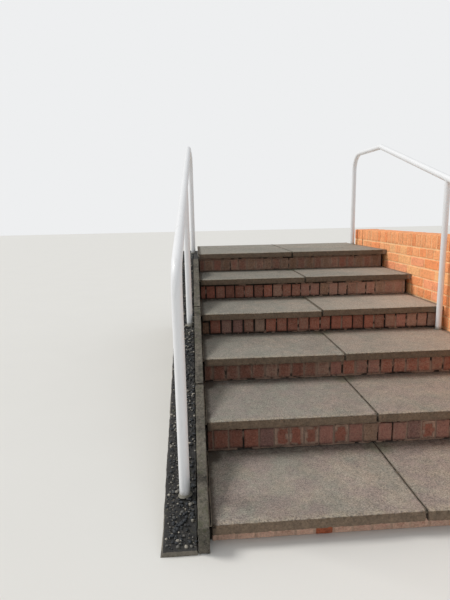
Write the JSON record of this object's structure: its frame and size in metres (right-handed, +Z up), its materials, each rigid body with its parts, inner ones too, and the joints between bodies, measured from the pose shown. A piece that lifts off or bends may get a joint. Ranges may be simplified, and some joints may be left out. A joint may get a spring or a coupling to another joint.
{
  "type": "concrete steps",
  "caption": "Outdoor flight of paving-slab steps on brick risers, between an edging kerb and a brick retaining wall, with a bent white tubular handrail on each side.",
  "frame": {"origin": "middle of the part's outer box, on the ground that its base rests on", "axes": "+X to the right across the flight as seen by a person going up, +Y up the flight towards the landing, +Z up"},
  "size_m": [2.29, 3.975, 2.0097],
  "materials": {
    "slab_concrete": "weathered pressed concrete slab with fine aggregate, worn rough noses",
    "riser_brick": "dark weathered red brick on edge with open and mortared joints",
    "wall_brick": "orange-red facing brick with cream mortar",
    "mass_concrete": "rough cast concrete",
    "haunch_concrete": "rough concrete with exposed dark gravel",
    "kerb_concrete": "weathered precast concrete edging, slightly green",
    "white_coating": "white plastic-coated steel tube, slightly weathered"
  },
  "bodies": {
    "root": {"concrete_core": "mass_concrete", "riser_1": "riser_brick", "riser_2": "riser_brick", "riser_3": "riser_brick", "riser_4": "riser_brick", "riser_5": "riser_brick", "riser_6": "riser_brick", "tread_1_left": "slab_concrete", "tread_1_right": "slab_concrete", "tread_2_left": "slab_concrete", "tread_2_right": "slab_concrete", "tread_3_left": "slab_concrete", "tread_3_right": "slab_concrete", "tread_4_left": "slab_concrete", "tread_4_right": "slab_concrete", "tread_5_left": "slab_concrete", "tread_5_right": "slab_concrete", "landing_front_left": "slab_concrete", "landing_front_right": "slab_concrete", "landing_back_left": "slab_concrete", "landing_back_right": "slab_concrete", "kerb_lower": "kerb_concrete", "kerb_middle": "kerb_concrete", "kerb_upper": "kerb_concrete", "left_haunch": "haunch_concrete", "right_wall": "wall_brick", "right_wall_coping": "wall_brick", "left_bottom_post": "white_coating", "left_sloping_rail": "white_coating", "left_level_rail": "white_coating", "left_top_post": "white_coating", "left_middle_post": "white_coating", "left_rail_bends": "white_coating", "right_bottom_post": "white_coating", "right_sloping_rail": "white_coating", "right_level_rail": "white_coating", "right_top_post": "white_coating", "right_middle_post": "white_coating", "right_rail_bends": "white_coating"}
  },
  "joints": []
}
